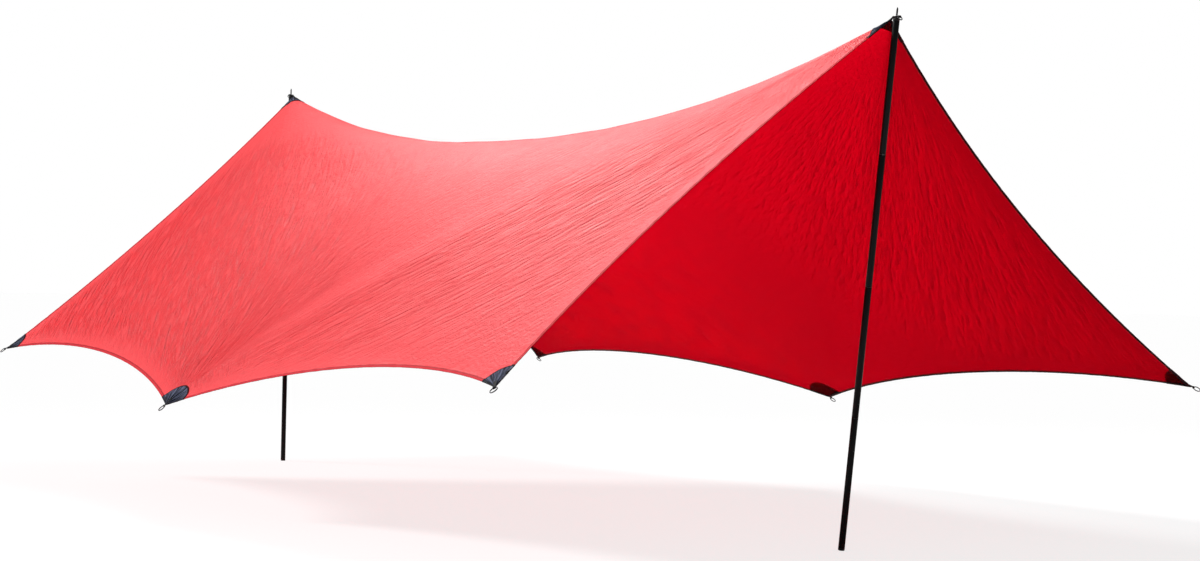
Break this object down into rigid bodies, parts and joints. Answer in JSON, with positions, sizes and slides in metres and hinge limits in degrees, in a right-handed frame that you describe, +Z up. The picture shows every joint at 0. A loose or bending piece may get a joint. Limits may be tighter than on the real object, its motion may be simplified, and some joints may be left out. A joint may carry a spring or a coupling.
{
  "type": "camping tarp",
  "caption": "Red camping tarp pitched as a saddle roof on black sectional poles, with curved hemmed edges, dark reinforced tie-outs and steel guy rings.",
  "frame": {"origin": "on the ground under the middle of the tarp, midway between its two pole tops", "axes": "+X along the ridge towards the front pole, +Y to the right-hand side, +Z up"},
  "size_m": [5.063, 3.7558, 2.092],
  "materials": {
    "sheet_fabric": "coated woven polyester, matt red",
    "hem_fabric": "the same cloth, folded and stitched, dark red",
    "patch_fabric": "heavier woven polyester, dark blue-grey",
    "webbing": "black woven webbing",
    "ring_steel": "bare steel wire, satin",
    "eyelet_steel": "pressed steel, satin",
    "black_steel": "blackened steel, satin",
    "black_tube": "black anodised tube, satin",
    "bare_tube": "bare drawn tube",
    "black_plastic": "moulded black nylon"
  },
  "bodies": {
    "canopy": {"canopy": "sheet_fabric", "hem_front_left": "hem_fabric", "hem_front_right": "hem_fabric", "hem_left_front": "hem_fabric", "hem_left_rear": "hem_fabric", "hem_rear_left": "hem_fabric", "hem_rear_right": "hem_fabric", "hem_right_front": "hem_fabric", "hem_right_rear": "hem_fabric", "patch_rear_left": "patch_fabric", "patch_rear_right": "patch_fabric", "patch_front_left": "patch_fabric", "patch_front_right": "patch_fabric", "patch_mid_left": "patch_fabric", "patch_mid_right": "patch_fabric", "patch_front_peak": "patch_fabric", "patch_rear_peak": "patch_fabric", "strap_rear_left": "webbing", "strap_rear_right": "webbing", "strap_front_left": "webbing", "strap_front_right": "webbing", "strap_mid_left": "webbing", "strap_mid_right": "webbing", "strap_front_peak": "webbing", "strap_rear_peak": "webbing", "eyelet_front": "eyelet_steel", "eyelet_rear": "eyelet_steel"},
    "guy_ring_rear_left": {"ring_rear_left": "ring_steel"},
    "guy_ring_rear_right": {"ring_rear_right": "ring_steel"},
    "guy_ring_front_left": {"ring_front_left": "ring_steel"},
    "guy_ring_front_right": {"ring_front_right": "ring_steel"},
    "guy_ring_mid_left": {"ring_mid_left": "ring_steel"},
    "guy_ring_mid_right": {"ring_mid_right": "ring_steel"},
    "guy_ring_front_peak": {"ring_front_peak": "black_steel"},
    "guy_ring_rear_peak": {"ring_rear_peak": "black_steel"},
    "pole_front_top": {"plug_front": "black_plastic", "spike_front": "black_steel", "tube_front_4": "black_tube", "ferrule_front_3": "bare_tube"},
    "pole_front_third": {"tube_front_3": "black_tube", "ferrule_front_2": "bare_tube"},
    "pole_front_second": {"tube_front_2": "black_tube", "ferrule_front_1": "bare_tube"},
    "pole_front_bottom": {"tube_front_1": "black_tube", "foot_front": "black_plastic"},
    "pole_rear_top": {"plug_rear": "black_plastic", "spike_rear": "black_steel", "tube_rear_4": "black_tube", "ferrule_rear_3": "bare_tube"},
    "pole_rear_third": {"tube_rear_3": "black_tube", "ferrule_rear_2": "bare_tube"},
    "pole_rear_second": {"tube_rear_2": "black_tube", "ferrule_rear_1": "bare_tube"},
    "pole_rear_bottom": {"tube_rear_1": "black_tube", "foot_rear": "black_plastic"}
  },
  "joints": [
    {"name": "ring_rear_left_swing", "type": "hinge", "parent": "canopy", "child": "guy_ring_rear_left", "pos_m": [-2.44349, -1.64034, 0.62379], "axis": [0.6933, -0.5452, -0.4713], "range_deg": [-100, 100]},
    {"name": "ring_rear_right_swing", "type": "hinge", "parent": "canopy", "child": "guy_ring_rear_right", "pos_m": [-2.46531, 1.67844, 0.57856], "axis": [-0.7171, -0.5314, 0.451], "range_deg": [-100, 100]},
    {"name": "ring_front_left_swing", "type": "hinge", "parent": "canopy", "child": "guy_ring_front_left", "pos_m": [2.43907, -1.7158, 0.64895], "axis": [0.7303, 0.5181, 0.4452], "range_deg": [-100, 100]},
    {"name": "ring_front_right_swing", "type": "hinge", "parent": "canopy", "child": "guy_ring_front_right", "pos_m": [2.49256, 1.7334, 0.63018], "axis": [-0.6788, 0.5626, -0.472], "range_deg": [-100, 100]},
    {"name": "ring_mid_left_swing", "type": "hinge", "parent": "canopy", "child": "guy_ring_mid_left", "pos_m": [0.02106, -1.83646, 0.46204], "axis": [0.9999, 0.0018, 0.0117], "range_deg": [-100, 100]},
    {"name": "ring_mid_right_swing", "type": "hinge", "parent": "canopy", "child": "guy_ring_mid_right", "pos_m": [0.007, 1.8705, 0.46112], "axis": [-1, -0.0036, -0.0084], "range_deg": [-100, 100]},
    {"name": "ring_front_peak_swing", "type": "hinge", "parent": "canopy", "child": "guy_ring_front_peak", "pos_m": [2.52075, 0, 2.04091], "axis": [0.0052, 1, 0.0033], "range_deg": [-100, 20]},
    {"name": "ring_rear_peak_swing", "type": "hinge", "parent": "canopy", "child": "guy_ring_rear_peak", "pos_m": [-2.52, 0, 2.05705], "axis": [0.0013, -1, -0.0011], "range_deg": [-100, 20]},
    {"name": "pole_front_lean", "type": "hinge", "parent": "canopy", "child": "pole_front_top", "pos_m": [2.50487, 0, 2.04288], "axis": [0, 1, 0], "range_deg": [0, 10]},
    {"name": "pole_front_joint_3", "type": "slide", "parent": "pole_front_top", "child": "pole_front_third", "axis": [-0.1236, 0, -0.9923], "range_m": [0, 0.055]},
    {"name": "pole_front_joint_2", "type": "slide", "parent": "pole_front_third", "child": "pole_front_second", "axis": [-0.1236, 0, -0.9923], "range_m": [0, 0.055]},
    {"name": "pole_front_joint_1", "type": "slide", "parent": "pole_front_second", "child": "pole_front_bottom", "axis": [-0.1236, 0, -0.9923], "range_m": [0, 0.055]},
    {"name": "pole_rear_lean", "type": "hinge", "parent": "canopy", "child": "pole_rear_top", "pos_m": [-2.504, 0, 2.05705], "axis": [0, 1, 0], "range_deg": [-10, 10]},
    {"name": "pole_rear_joint_3", "type": "slide", "parent": "pole_rear_top", "child": "pole_rear_third", "axis": [0, 0, -1], "range_m": [0, 0.055]},
    {"name": "pole_rear_joint_2", "type": "slide", "parent": "pole_rear_third", "child": "pole_rear_second", "axis": [0, 0, -1], "range_m": [0, 0.055]},
    {"name": "pole_rear_joint_1", "type": "slide", "parent": "pole_rear_second", "child": "pole_rear_bottom", "axis": [0, 0, -1], "range_m": [0, 0.055]}
  ]
}
